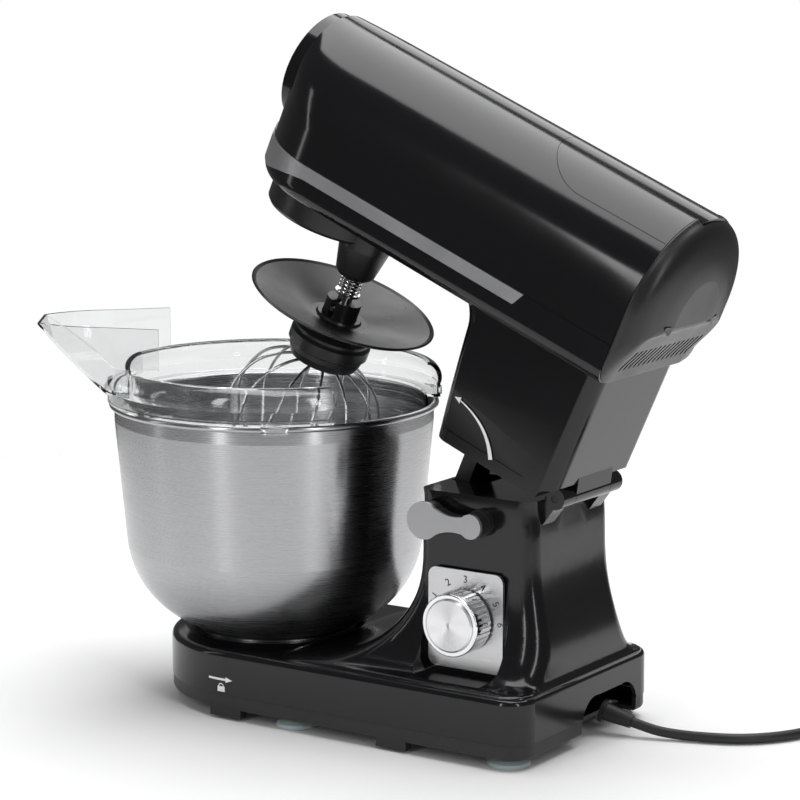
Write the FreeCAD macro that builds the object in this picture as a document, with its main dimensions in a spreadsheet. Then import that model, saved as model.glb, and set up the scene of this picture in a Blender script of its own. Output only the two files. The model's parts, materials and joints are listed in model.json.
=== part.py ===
import FreeCAD, Part
import math
import os

import Sketcher
from FreeCAD import Placement, Rotation, Vector

# Tilt-head stand mixer, millimetres. +Z is up, the nose points to -Y, and the dial side is +X.
# Every piece is modelled about the bowl's axis with the head lowered. The head's pieces are then
# tipped back about the hinge pin, which is the pose the file is stored in.

X_AXIS = Vector(1, 0, 0)
Y_AXIS = Vector(0, 1, 0)
Z_AXIS = Vector(0, 0, 1)

doc = FreeCAD.newDocument("StandMixer")
sheet = doc.addObject("Spreadsheet::Sheet", "Dims")

DIMENSIONS = [
    ("bowl_axis_y", -97.11, "bowl axis in the stored frame"),
    ("head_tilt", 23.3, "raised angle of the head, degrees"),
    ("hinge_y", 243.5, "hinge pin axis behind the bowl axis"),
    ("hinge_z", 166.9, "hinge pin axis above the bench"),
    ("hinge_pin_radius", 2.5, "hinge pin"),
    ("knuckle_radius", 7.0, "hinge barrel"),
    ("knuckle_half_width", 37.0, "half length of the hinge barrel"),
    ("running_gap", 0.05, "radial gap of a running fit"),
    ("clear_gap", 0.3, "gap between pieces that do not touch"),
    ("wall", 2.6, "moulded wall"),
    ("base_half_width", 86.0, "base"),
    ("base_nose_y", 18.6, "centre of the round front of the base"),
    ("base_back_y", 249.0, "back of the base"),
    ("base_low_z", 6.8, "underside of the base plate"),
    ("base_seam_z", 16.5, "joint between base plate and base shell"),
    ("base_top_z", 46.4, "deck"),
    ("column_half_width", 49.5, "column"),
    ("column_front_y", 148.9, "column front"),
    ("column_back_y", 234.6, "column back"),
    ("column_top_z", 165.5, "column top"),
    ("seat_radius", 62.0, "hole in the deck for the bowl seat"),
    ("foot_radius", 14.0, "suction foot"),
    ("bowl_rim_radius", 111.9, "outside of the rolled rim"),
    ("bowl_rim_z", 202.8, "top of the rim"),
    ("bowl_floor_z", 47.0, "underside of the bowl floor"),
    ("bowl_wall", 0.9, "bowl sheet"),
    ("guard_top_z", 227.0, "top of the splash guard"),
    ("guard_wall", 2.0, "splash guard"),
    ("guard_open_angle", 34.0, "half angle of the gap at the back, degrees"),
    ("chute_angle", 33.6, "chute direction from the front towards the dial side, degrees"),
    ("head_half_width", 61.0, "head"),
    ("arch_centre_z", 306.0, "centre of the rounded top of the head"),
    ("head_nose_y", -38.0, "front face of the upper shell"),
    ("head_seam_y", 250.0, "joint between shells and rear cover"),
    ("strip_top_z", 284.0, "top of the side strip"),
    ("strip_low_z", 275.0, "bottom of the side strip"),
    ("strip_end_y", 183.0, "rear end of the side strip"),
    ("head_low_z", 257.0, "underside of the head"),
    ("neck_half_width", 50.0, "neck"),
    ("neck_low_z", 166.1, "underside of the neck"),
    ("cap_centre_z", 326.0, "axis of the front outlet"),
    ("cap_radius", 38.5, "front cap"),
    ("hub_radius", 45.0, "planetary hub"),
    ("orbit_radius", 36.0, "beater shaft from the bowl axis"),
    ("orbit_angle", 78.0, "beater shaft position, degrees from +X"),
    ("beater_shaft_radius", 5.0, "beater shaft"),
    ("gear_module", 1.0, "module of the spur gears"),
    ("shield_radius", 63.7, "splash disc on the whisk"),
    ("whisk_radius", 52.0, "whisk"),
    ("wire_radius", 1.0, "whisk wire"),
    ("motor_y", 197.0, "motor axis behind the bowl axis"),
    ("motor_shaft_radius", 4.0, "motor shaft"),
    ("small_pulley_radius", 9.0, "motor pulley"),
    ("large_pulley_radius", 30.0, "driven pulley"),
    ("belt_low_z", 300.0, "underside of the belt"),
    ("lever_y", 198.0, "lever axis"),
    ("lever_z", 148.6, "lever axis"),
    ("lever_length", 35.0, "lever"),
    ("knob_y", 188.0, "speed knob axis"),
    ("knob_z", 85.0, "speed knob axis"),
    ("knob_radius", 20.5, "speed knob"),
    ("cord_radius", 3.3, "power cord"),
]

for row, (alias, value, note) in enumerate(DIMENSIONS, start=1):
    sheet.set("A%d" % row, alias)
    sheet.set("B%d" % row, "%g" % value)
    sheet.set("C%d" % row, note)
    sheet.setAlias("B%d" % row, alias)
doc.recompute()


class Dims:
    """The sheet's cells as plain numbers."""


for alias, value, note in DIMENSIONS:
    setattr(Dims, alias, float(sheet.get(alias)))

SHIFT = Placement(Vector(0, Dims.bowl_axis_y, 0), Rotation())
HINGE = Vector(0, Dims.hinge_y, Dims.hinge_z)
TILT = Placement(HINGE, Rotation(X_AXIS, -Dims.head_tilt)) * Placement(-HINGE, Rotation())
BASE_FRAME = SHIFT
HEAD_FRAME = SHIFT * TILT

nodes = {}


# ---- helpers -------------------------------------------------------------------------------

def keep(label, item, frame):
    """Register a finished sub-part and stand it in its place."""
    doc.recompute()
    item.Label = label
    item.Placement = frame * item.Placement
    nodes[label] = item
    return item


def bind(item, prop, value):
    """Set a property from a cell's alias, an expression or a number."""
    if isinstance(value, str):
        item.setExpression(prop, value)
    else:
        setattr(item, prop, value)


def aimed(at, axis):
    return Placement(at, Rotation(Z_AXIS, axis))


def cylinder(radius, height, at=Vector(), axis=Z_AXIS):
    rod = doc.addObject("Part::Cylinder", "Rod")
    bind(rod, "Radius", radius)
    bind(rod, "Height", height)
    rod.Placement = aimed(at, axis)
    return rod


def block(low, high):
    brick = doc.addObject("Part::Box", "Block")
    brick.Length = high[0] - low[0]
    brick.Width = high[1] - low[1]
    brick.Height = high[2] - low[2]
    brick.Placement = Placement(Vector(*low), Rotation())
    return brick


def joined(*pieces):
    union = doc.addObject("Part::MultiFuse", "Union")
    union.Shapes = list(pieces)
    return union


def less(base, *tools):
    difference = doc.addObject("Part::Cut", "Difference")
    difference.Base = base
    difference.Tool = tools[0] if len(tools) == 1 else joined(*tools)
    return difference


def tube(outer, inner, height, at=Vector(), axis=Z_AXIS):
    lead = axis * -1.0
    longer = height + 2 if not isinstance(height, str) else height + " + 2"
    return less(cylinder(outer, height, at, axis), cylinder(inner, longer, at + lead, axis))


def feature(shape):
    item = doc.addObject("Part::Feature", "Shape")
    item.Shape = shape
    return item


def origin_plane(body, role):
    return next(item for item in body.Origin.OriginFeatures if item.Role == role)


def sketch_on(body, role, offset=0.0):
    sketch = body.newObject("Sketcher::SketchObject", "Outline")
    sketch.AttachmentSupport = [(origin_plane(body, role), "")]
    sketch.MapMode = "FlatFace"
    sketch.AttachmentOffset = Placement(Vector(0, 0, offset), Rotation())
    return sketch


def outline_edges(points):
    """Edges of a closed outline. A third item marks a point that an arc passes through."""
    edges = []
    ring = list(points) + [points[0]]
    start = ring[0]
    index = 1
    while index < len(ring):
        here = ring[index]
        if len(here) == 3:
            end = ring[index + 1]
            arc = Part.Arc(Vector(start[0], start[1], 0), Vector(here[0], here[1], 0),
                           Vector(end[0], end[1], 0))
            edges.append(arc)
            index += 2
        else:
            end = here
            edges.append(Part.LineSegment(Vector(start[0], start[1], 0),
                                          Vector(end[0], end[1], 0)))
            index += 1
        start = end
    return edges


def turned(outline, at=Vector(), axis=Z_AXIS):
    """A lathe part: the outline holds radius and height pairs."""
    body = doc.addObject("PartDesign::Body", "Turned")
    sketch = sketch_on(body, "XZ_Plane")
    sketch.addGeometry(outline_edges(outline), False)
    turn = body.newObject("PartDesign::Revolution", "Turn")
    turn.Profile = sketch
    turn.ReferenceAxis = (sketch, ["V_Axis"])
    turn.Angle = 360.0
    sketch.Visibility = False
    body.Placement = aimed(at, axis)
    return body


def padded(role, outline, length, offset=0.0):
    """A moulded or punched part: an outline on an origin plane, given a thickness."""
    body = doc.addObject("PartDesign::Body", "Padded")
    sketch = sketch_on(body, role, offset)
    sketch.addGeometry(outline_edges(outline), False)
    pad = body.newObject("PartDesign::Pad", "Thickness")
    pad.Profile = sketch
    bind(pad, "Length", length)
    return body


def face_of(points, to_world):
    wire = Part.Wire([edge.toShape() for edge in outline_edges(points)])
    wire.Placement = to_world
    return Part.Face(wire)


SIDE_VIEW = Placement(Vector(), Rotation(Vector(0, 1, 0), Vector(0, 0, 1), Vector(1, 0, 0), "ZXY"))


def side_prism(points, half_width):
    """An outline in Y and Z, spread evenly to both sides in X."""
    face = face_of(points, SIDE_VIEW)
    face.translate(Vector(-half_width, 0, 0))
    return face.extrude(Vector(2 * half_width, 0, 0))


def plan_prism(points, low_z, high_z):
    """An outline in X and Y, raised from one height to another."""
    face = face_of(points, Placement(Vector(0, 0, low_z), Rotation()))
    return face.extrude(Vector(0, 0, high_z - low_z))


def box_shape(low, high):
    return Part.makeBox(high[0] - low[0], high[1] - low[1], high[2] - low[2], Vector(*low))


def rod_shape(radius, low, height, axis=Z_AXIS):
    return Part.makeCylinder(radius, height, low, axis)


def rounded(shape, radius, chosen):
    edges = [edge for edge in shape.Edges if chosen(edge)]
    return shape.makeFillet(radius, edges)


def mirrored(shape):
    return shape.mirror(Vector(), X_AXIS)


def rounded_box_points(x_low, x_high, y_low, y_high, radius):
    """A rectangle with round corners, counter-clockwise."""
    slant = radius * (1 - math.sqrt(0.5))
    return [
        (x_low + radius, y_low), (x_high - radius, y_low),
        (x_high - slant, y_low + slant, "arc"), (x_high, y_low + radius),
        (x_high, y_high - radius), (x_high - slant, y_high - slant, "arc"),
        (x_high - radius, y_high), (x_low + radius, y_high),
        (x_low + slant, y_high - slant, "arc"), (x_low, y_high - radius),
        (x_low, y_low + radius), (x_low + slant, y_low + slant, "arc"),
    ]


def involute_points(teeth, module, backlash, phase_deg):
    """External spur gear: involute flanks sampled between root and tip."""
    pitch = teeth * module / 2.0
    pressure = math.radians(20.0)
    base = pitch * math.cos(pressure)
    tip = pitch + 0.8 * module
    root = pitch - 1.15 * module
    half_at_pitch = math.pi / (2 * teeth) - backlash / (2 * pitch)

    def spread(radius):
        if radius <= base:
            return 0.0
        angle = math.acos(base / radius)
        return math.tan(angle) - angle

    start = max(base, root)
    radii = [start + (tip - start) * step / 3.0 for step in range(4)]
    points = []
    for tooth in range(teeth):
        centre = math.radians(phase_deg) + 2 * math.pi * tooth / teeth
        flank = []
        for radius in radii:
            flank.append((radius, half_at_pitch + spread(pitch) - spread(radius)))
        if root < base:
            flank.insert(0, (root, flank[0][1]))
        for radius, half in flank:
            points.append((radius * math.cos(centre - half), radius * math.sin(centre - half)))
        for radius, half in reversed(flank):
            points.append((radius * math.cos(centre + half), radius * math.sin(centre + half)))
    return points


def involute_space_points(teeth, module, backlash, phase_deg):
    """Inner outline of an internal gear: its spaces have the shape of an external tooth."""
    pitch = teeth * module / 2.0
    pressure = math.radians(20.0)
    base = pitch * math.cos(pressure)
    deep = pitch + 1.15 * module
    crest = pitch - 0.8 * module
    half_at_pitch = math.pi / (2 * teeth) + backlash / (2 * pitch)

    def spread(radius):
        angle = math.acos(min(1.0, base / radius))
        return math.tan(angle) - angle

    radii = [crest + (deep - crest) * step / 3.0 for step in range(4)]
    points = []
    for space in range(teeth):
        centre = math.radians(phase_deg) + 2 * math.pi * space / teeth
        flank = [(radius, half_at_pitch + spread(pitch) - spread(radius)) for radius in radii]
        for radius, half in flank:
            points.append((radius * math.cos(centre - half), radius * math.sin(centre - half)))
        for radius, half in reversed(flank):
            points.append((radius * math.cos(centre + half), radius * math.sin(centre + half)))
    return points


def polygon_face(points, height):
    corners = [Vector(x, y, height) for x, y in points]
    return Part.Face(Part.makePolygon(corners + [corners[0]]))


def rounded_route(points, share=0.45):
    """Straight runs joined by tangent arcs. Returns the wire and the arcs' radii."""
    edges = []
    radii = []
    here = points[0]
    for index in range(1, len(points) - 1):
        before, corner, after = points[index - 1], points[index], points[index + 1]
        run_in = (corner - before)
        run_out = (after - corner)
        turn = run_in.getAngle(run_out)
        reach = share * min(run_in.Length, run_out.Length)
        radii.append(reach / math.tan(turn / 2.0))
        unit_in = Vector(run_in).normalize()
        unit_out = Vector(run_out).normalize()
        start = corner - unit_in * reach
        end = corner + unit_out * reach
        inward = Vector(unit_out - unit_in).normalize()
        middle = corner + inward * (radii[-1] / math.cos(turn / 2.0) - radii[-1])
        edges.append(Part.LineSegment(here, start).toShape())
        edges.append(Part.Arc(start, middle, end).toShape())
        here = end
    edges.append(Part.LineSegment(here, points[-1]).toShape())
    return Part.Wire(edges), radii


def swept(wire, radius):
    first = wire.Edges[0]
    start = first.valueAt(first.FirstParameter)
    heading = first.tangentAt(first.FirstParameter)
    section = Part.Wire(Part.makeCircle(radius, start, heading))
    return wire.makePipeShell([section], True, False)


# ---- base and column -----------------------------------------------------------------------

def base_plan(inset):
    half = Dims.base_half_width - inset
    back = Dims.base_back_y - inset
    corner = 18.0 - inset
    slant = corner * (1 - math.sqrt(0.5))
    return [
        (half, Dims.base_nose_y), (half, back - corner), (half - slant, back - slant, "arc"),
        (half - corner, back), (-half + corner, back), (-half + slant, back - slant, "arc"),
        (-half, back - corner), (-half, Dims.base_nose_y),
        (0, Dims.base_nose_y - half, "arc"),
    ]


COLUMN_SECTIONS = [
    # height, half width, front, back, corner radius
    (43.5, 84.5, 48.0, 247.3, 20.0),
    (50.0, 73.5, 84.0, 246.8, 18.0),
    (62.0, 60.5, 116.0, 245.5, 16.0),
    (80.0, 53.0, 135.0, 242.5, 13.0),
    (100.0, 50.2, 145.5, 238.0, 11.0),
    (122.0, 49.5, 148.7, 235.4, 10.0),
    (144.0, 49.5, 148.9, 234.8, 10.0),
    (165.5, 49.5, 148.9, 234.6, 10.0),
]


def column_solid(inset, low_extra=0.0, high_drop=0.0):
    wires = []
    last = len(COLUMN_SECTIONS) - 1
    for index, (height, half, front, back, corner) in enumerate(COLUMN_SECTIONS):
        level = height
        if index == 0:
            level = height - low_extra
        if index == last:
            level = height - high_drop
        points = rounded_box_points(-half + inset, half - inset, front + inset, back - inset,
                                    corner - inset * 0.8)
        edges = [edge.toShape() for edge in outline_edges(points)]
        wire = Part.Wire(edges)
        wire.translate(Vector(0, 0, level))
        wires.append(wire)
    return Part.makeLoft(wires, True, False)


PLATE_BOX = ((51.5, 160.0, 52.0), (53.8, 216.0, 117.0))


def base_shell():
    deck = plan_prism(base_plan(0.0), Dims.base_seam_z + Dims.clear_gap, Dims.base_top_z)
    deck = rounded(deck, 4.0, lambda edge: min(v.Z for v in edge.Vertexes) > Dims.base_top_z - 0.1)
    column = column_solid(0.0)
    outer = deck.fuse(column)
    cavity = plan_prism(base_plan(3.0), 0.0, Dims.base_top_z - 3.0)
    inner = column_solid(3.0, low_extra=3.0, high_drop=3.0)
    plate_pad = box_shape((48.0, 153.0, 46.0), (90.0, 223.0, 124.0))
    inner = inner.cut(plate_pad)
    shell = outer.cut(cavity).cut(inner)
    seat = rod_shape(Dims.seat_radius, Vector(0, 0, 20), 40)
    recess = rounded_box_points(157.0, 219.0, 49.0, 120.0, 8.0)
    dial_seat = face_of(recess, SIDE_VIEW)
    dial_seat.translate(Vector(PLATE_BOX[0][0], 0, 0))
    dial_seat = dial_seat.extrude(Vector(50, 0, 0))
    tongue_slot = box_shape((-15, 152.2, 150), (15, 178, 170))
    lever_hole = rod_shape(4.3, Vector(40, Dims.lever_y, Dims.lever_z), 20, X_AXIS)
    spindle_hole = rod_shape(4.3, Vector(40, Dims.knob_y, Dims.knob_z), 20, X_AXIS)
    flange_room = rod_shape(66.5, Vector(0, 0, 30), Dims.base_top_z - 3.0 - 30)
    for tool in (seat, flange_room, dial_seat, tongue_slot, lever_hole, spindle_hole,
                 cord_arch(0.0)):
        shell = shell.cut(tool)
    knuckles = None
    for side in (-1, 1):
        near, far = 22.0, Dims.knuckle_half_width
        low = near if side > 0 else -far
        barrel = rod_shape(Dims.knuckle_radius, Vector(low, Dims.hinge_y, Dims.hinge_z),
                           far - near, X_AXIS)
        web = face_of([(233.0, 147.0), (243.0, 160.5), (246.0, 166.9), (238.0, 166.5),
                       (233.0, 163.5)], SIDE_VIEW)
        web.translate(Vector(low, 0, 0))
        ear = barrel.fuse(web.extrude(Vector(far - near, 0, 0)))
        knuckles = ear if knuckles is None else knuckles.fuse(ear)
    shell = shell.fuse(knuckles)
    bore = rod_shape(Dims.hinge_pin_radius, Vector(-40, Dims.hinge_y, Dims.hinge_z), 80, X_AXIS)
    return shell.cut(bore).removeSplitter()


def cord_arch(grow):
    """The notch at the foot of the back wall that the cord leaves through."""
    points = [(-62 - grow, 0), (8 + grow, 0), (8 + grow, 17), (0, 28 + grow, "arc"),
              (-12, 30 + grow), (-42, 30 + grow), (-54, 28 + grow, "arc"), (-62 - grow, 17)]
    wire = Part.Wire([edge.toShape() for edge in outline_edges(points)])
    wire.rotate(Vector(), X_AXIS, 90)
    face = Part.Face(wire)
    face.translate(Vector(0, 232, 0))
    return face.extrude(Vector(0, 30, 0))


keep("base_shell", feature(base_shell()), BASE_FRAME)


def base_plate():
    plate = plan_prism(base_plan(0.6), Dims.base_low_z, Dims.base_seam_z)
    plate = rounded(plate, 2.5, lambda edge: max(v.Z for v in edge.Vertexes) < Dims.base_low_z + 0.1)
    hollow = plan_prism(base_plan(3.6), Dims.base_low_z + 3.0, 30)
    plate = plate.cut(hollow)
    rib = rod_shape(Dims.seat_radius + 4, Vector(0, 0, Dims.base_low_z + 1), 9)
    rib = rib.cut(rod_shape(Dims.seat_radius + 1, Vector(0, 0, Dims.base_low_z + 1), 12))
    plate = plate.fuse(rib)
    for side in (-1, 1):
        for low_y, high_y in ((7.0, 32.0), (140.0, 163.0)):
            lug = box_shape((78.0, low_y, 1.6), (84.9, high_y, Dims.base_low_z + 4))
            plate = plate.fuse(lug if side > 0 else mirrored(lug))
    for x, y in FOOT_PLACES:
        plate = plate.cut(rod_shape(4.0, Vector(x, y, 0), 20))
    for x, y in SCREW_PLACES:
        plate = plate.cut(rod_shape(2.0, Vector(x, y, 0), 20))
        plate = plate.cut(rod_shape(4.2, Vector(x, y, 0), Dims.base_low_z + 1.9))
    plate = plate.cut(cord_arch(0.5))
    return plate.removeSplitter()


FOOT_PLACES = [(32, -44), (-32, -44), (68, 66), (-68, 66), (66, 229), (-66, 229)]
SCREW_PLACES = [(76, 20), (-76, 20), (76, 130), (-76, 130), (40, 238), (-74, 190)]

keep("base_plate", feature(base_plate()), BASE_FRAME)


def suction_feet():
    profile = [(0, 9.6), (0, 2.2), (8, 1.4), (13, 0.0), (14, 0.0), (13.4, 2.2), (9, 4.6),
               (6, 6.6), (3.6, 6.6), (3.6, 9.6)]
    return [turned(profile, Vector(x, y, 0)) for x, y in FOOT_PLACES]


keep("suction_feet", joined(*suction_feet()), BASE_FRAME)

SCREW_PROFILE = [(0, 0), (3.6, 0), (3.6, 1.2), (1.8, 2.0), (1.8, 12.0), (0, 12.0)]
keep("base_screws", joined(*[turned(SCREW_PROFILE, Vector(x, y, Dims.base_low_z - 0.4))
                             for x, y in SCREW_PLACES]), BASE_FRAME)


def bowl_seat():
    seat = rod_shape(Dims.seat_radius - 0.2, Vector(0, 0, 33.5), 12.5)
    seat = seat.cut(rod_shape(60.6, Vector(0, 0, 36.5), 20))
    seat = seat.cut(rod_shape(12.0, Vector(0, 0, 30), 10))
    tabs = rod_shape(61.0, Vector(0, 0, 43.2), 2.6).cut(rod_shape(57.4, Vector(0, 0, 40), 10))
    windows = [plan_prism([(0, 0), (70, -26), (70, 26)], 40, 50)]
    for turn_deg in (120, 240):
        window = windows[0].copy()
        window.rotate(Vector(), Z_AXIS, turn_deg)
        windows.append(window)
    for window in windows:
        tabs = tabs.cut(window)
    flange = rod_shape(66.0, Vector(0, 0, 39.8), 3.3).cut(rod_shape(61.0, Vector(0, 0, 39), 6))
    return seat.fuse(tabs).fuse(flange).removeSplitter()


keep("bowl_seat", feature(bowl_seat()), BASE_FRAME)

plate_low, plate_high = PLATE_BOX
keep("dial_plate", less(
    padded("YZ_Plane", rounded_box_points(plate_low[1], plate_high[1], plate_low[2],
                                          plate_high[2], 6.0), 2.0, plate_low[0] + 0.1),
    cylinder(4.3, 10.0, Vector(50, Dims.knob_y, Dims.knob_z), X_AXIS)), BASE_FRAME)

keep("speed_switch", less(
    joined(block((28, 173, 70), (46.5, 203, 100)),
           cylinder(9.0, 1.2, Vector(46.5, Dims.knob_y, Dims.knob_z), X_AXIS),
           block((22, 176, 74), (28.5, 180, 80)), block((22, 196, 74), (28.5, 200, 80))),
    cylinder(3.05, 30.0, Vector(34, Dims.knob_y, Dims.knob_z), X_AXIS)), BASE_FRAME)


def control_board():
    board = box_shape((-26, 160, 60), (-24.4, 222, 136))
    parts = [box_shape((-24.6, 165, 66), (-10, 185, 80)),
             rod_shape(8.0, Vector(-24.6, 206, 78), 20, X_AXIS),
             box_shape((-24.6, 170, 96), (-6, 200, 99)),
             box_shape((-24.6, 170, 104), (-6, 200, 107)),
             rod_shape(5.0, Vector(-24.6, 212, 120), 14, X_AXIS)]
    for piece in parts:
        board = board.fuse(piece)
    rails = box_shape((-46.2, 164, 64), (-25.9, 170, 70))
    return board.fuse(rails).fuse(box_shape((-46.2, 164, 124), (-25.9, 170, 130)))


keep("control_board", feature(control_board()), BASE_FRAME)

keep("tilt_switch", joined(block((-46.2, 158, 134), (-32, 176, 144)),
                           block((-36, 164, 144), (-34, 174, 147))), BASE_FRAME)

keep("hinge_pin", cylinder("Dims.hinge_pin_radius", 73.0,
                           Vector(-36.5, Dims.hinge_y, Dims.hinge_z), X_AXIS), BASE_FRAME)


def coil_spring(coil_radius, wire, pitch, height, at, axis):
    helix = Part.makeHelix(pitch, height, coil_radius)
    section = Part.Wire(Part.makeCircle(wire, Vector(coil_radius, 0, 0), Y_AXIS))
    spring = Part.Wire(helix).makePipeShell([section], True, True)
    spring.Placement = aimed(at, axis)
    return spring


keep("lever_spring", feature(coil_spring(7.0, 0.7, 2.4, 14.0,
                                         Vector(26, Dims.lever_y, Dims.lever_z), X_AXIS)),
     BASE_FRAME)


# ---- tilt lever ----------------------------------------------------------------------------

def dog_bone(big, small, waist):
    """Outline in Y and Z about the lever's axis: small lobe at the axis, big lobe in front."""
    reach = -Dims.lever_length
    mid = reach * 0.5
    lobe = small * math.sqrt(0.5)
    head = big * math.sqrt(0.5)
    y, z = Dims.lever_y, Dims.lever_z
    return [
        (y - lobe, z + lobe), (y + mid, z + waist, "arc"), (y + reach + head, z + head),
        (y + reach - big, z, "arc"), (y + reach + head, z - head),
        (y + mid, z - waist, "arc"), (y - lobe, z - lobe), (y + small, z, "arc"),
    ]


keep("lever_body", joined(
    padded("YZ_Plane", dog_bone(11.6, 7.6, 5.0), 8.6, 54.0),
    cylinder(9.0, 5.0, Vector(49.8, Dims.lever_y, Dims.lever_z), X_AXIS)), BASE_FRAME)
keep("lever_face", padded("YZ_Plane", dog_bone(12.2, 8.0, 5.4), 2.4, 62.6), BASE_FRAME)


def lever_shaft():
    start = Vector(-9, Dims.lever_y, Dims.lever_z)
    shaft = rod_shape(4.0, start, 58.8, X_AXIS)
    arm = box_shape((-8, -30.5, -3), (8, 0, 3))
    hub = rod_shape(7.0, Vector(-8, 0, 0), 16, X_AXIS)
    arm = arm.fuse(hub)
    arm.rotate(Vector(), X_AXIS, 40)
    arm.translate(Vector(0, Dims.lever_y, Dims.lever_z))
    return shaft.fuse(arm).removeSplitter()


keep("latch_hook", feature(lever_shaft()), BASE_FRAME)

# ---- speed knob ----------------------------------------------------------------------------

FLUTES = 36


def fluted_knob():
    body = rod_shape(Dims.knob_radius, Vector(), 17.0)
    body = rounded(body, 1.0, lambda edge: edge.Vertexes[0].Z > 16.9 and len(edge.Vertexes) == 1)
    for flute in range(FLUTES):
        angle = 2 * math.pi * flute / FLUTES
        reach = Dims.knob_radius + 0.35
        groove = rod_shape(1.0, Vector(reach * math.cos(angle), reach * math.sin(angle), -1), 15)
        body = body.cut(groove)
    body = body.cut(rod_shape(Dims.knob_radius - 3, Vector(0, 0, 15.5), 5))
    body = body.fuse(rod_shape(3.0, Vector(0, 0, -19), 20))
    body.Placement = aimed(Vector(55.4, Dims.knob_y, Dims.knob_z), X_AXIS)
    return body


keep("speed_knob", feature(fluted_knob()), BASE_FRAME)
keep("knob_face", turned([(0, 0), (Dims.knob_radius - 3.1, 0), (Dims.knob_radius - 3.1, 2.2),
                          (Dims.knob_radius - 4.2, 3.0), (0, 2.4)],
                         Vector(55.4 + 15.5, Dims.knob_y, Dims.knob_z), X_AXIS), BASE_FRAME)

# ---- bowl ----------------------------------------------------------------------------------

RIM_ROLL = 2.2


def bowl_solid():
    wall = Dims.bowl_wall
    floor = Dims.bowl_floor_z
    roll_centre = Vector(Dims.bowl_rim_radius - RIM_ROLL, 0, Dims.bowl_rim_z - RIM_ROLL)
    lip = roll_centre.x - RIM_ROLL

    def shell_outline(inset):
        low = floor + inset
        return [(0, low), (50, low), (82.5 - inset * 0.7, 66.5 + inset * 0.7, "arc"),
                (100.6 - inset, 104), (lip + wall - inset, 190), (lip + wall - inset, roll_centre.z)]

    outer = shell_outline(0.0)
    inner = shell_outline(wall)
    bowl = turned(outer + list(reversed(inner)))
    roll = doc.addObject("Part::Torus", "RimRoll")
    roll.Radius1 = roll_centre.x
    roll.Radius2 = RIM_ROLL
    roll.Placement = Placement(Vector(0, 0, roll_centre.z), Rotation())
    return joined(bowl, roll)


keep("bowl", bowl_solid(), BASE_FRAME)


def bowl_foot():
    ring = rod_shape(55.5, Vector(0, 0, 36.8), 10.2).cut(rod_shape(50.5, Vector(0, 0, 30), 20))
    for turn_deg in (60, 180, 300):
        sector = plan_prism([(0, 0), (70, -14), (70, 14)], 39.4, 42.4)
        lug = rod_shape(59.8, Vector(0, 0, 39.4), 3.0).cut(rod_shape(54.0, Vector(0, 0, 30), 20))
        sector.rotate(Vector(), Z_AXIS, turn_deg)
        ring = ring.fuse(lug.common(sector))
    return ring.removeSplitter()


keep("bowl_foot", feature(bowl_foot()), BASE_FRAME)

# ---- splash guard --------------------------------------------------------------------------

CHUTE_TIP = 157.5
CHUTE_TOP_Z = 257.0


def chute_plan(inset):
    return [(CHUTE_TIP - inset, -20 + inset), (CHUTE_TIP - inset, 20 - inset),
            (148 - inset, 29 - inset, "arc"), (112, 42 - inset), (74, 52 - inset),
            (74, -52 + inset), (112, -42 + inset), (148 - inset, -29 + inset, "arc")]


def chute_space(inset):
    """The chute's outside, or its inside when given a wall as inset."""
    top = CHUTE_TOP_Z + (10 if inset else 0)
    plan = plan_prism(chute_plan(inset), 200, top)
    slope = (CHUTE_TOP_Z - 212.0) / (CHUTE_TIP + 1.0 - 110.0)
    lift = inset * 1.35
    side = [(60, 212 + lift), (110, 212 + lift),
            (CHUTE_TIP + 11, CHUTE_TOP_Z + lift + slope * 10), (CHUTE_TIP + 11, 290), (60, 290)]
    wire = Part.Wire([edge.toShape() for edge in outline_edges(side)])
    wire.rotate(Vector(), X_AXIS, 90)
    wedge = Part.Face(wire)
    wedge.translate(Vector(0, -60, 0))
    return plan.common(wedge.extrude(Vector(0, 120, 0)))


def splash_guard():
    wall = Dims.guard_wall
    top = Dims.guard_top_z
    low = Dims.bowl_rim_z + Dims.clear_gap
    outline = [(107.5, low), (112.8, low), (112.8, low + 9), (111.0, top - 3, "arc"), (106.0, top),
               (104.0, top), (104.0, top - wall), (105.6, top - wall),
               (109.0, top - 5, "arc"), (110.6, low + 9), (110.6, low + wall), (107.5, low + wall)]
    face = face_of(outline, Placement(Vector(), Rotation(X_AXIS, 90)))
    sweep_deg = 360 - 2 * Dims.guard_open_angle
    ring = face.revolve(Vector(), Z_AXIS, sweep_deg)
    ring.rotate(Vector(), Z_AXIS, 90 + Dims.guard_open_angle)
    lip = face_of([(102.6, low - 7), (104.2, low - 7), (104.2, low + 0.1), (108, low + 0.1),
                   (108, low + wall), (102.6, low + wall)], Placement(Vector(), Rotation(X_AXIS, 90)))
    skirt = lip.revolve(Vector(), Z_AXIS, sweep_deg)
    skirt.rotate(Vector(), Z_AXIS, 90 + Dims.guard_open_angle)
    ring = ring.fuse(skirt)
    trough = chute_space(0.0).cut(rod_shape(104.2, Vector(0, 0, 150), 79))
    hollow = chute_space(wall)
    for solid in (trough, hollow):
        solid.rotate(Vector(), Z_AXIS, Dims.chute_angle - 90)
    guard = ring.fuse(trough).cut(hollow)
    tab = rod_shape(9.0, Vector(0, 0, 199), 5)
    tab = tab.common(box_shape((0, -9, 190), (12, 9, 210)))
    tab.translate(Vector(Dims.bowl_rim_radius + 0.6, 0, 0))
    bridge = box_shape((110, -6, low), (114, 6, low + wall))
    clips = []
    for turn_deg in (36, 144):
        clip = tab.fuse(bridge)
        clip.rotate(Vector(), Z_AXIS, turn_deg)
        clips.append(clip)
    for clip in clips:
        guard = guard.fuse(clip)
    return guard.removeSplitter()


keep("splash_guard", feature(splash_guard()), BASE_FRAME)

# ---- head shells ---------------------------------------------------------------------------

NOSE_CENTRE_Y = 7.2
NOSE_STEPS = 7


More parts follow.
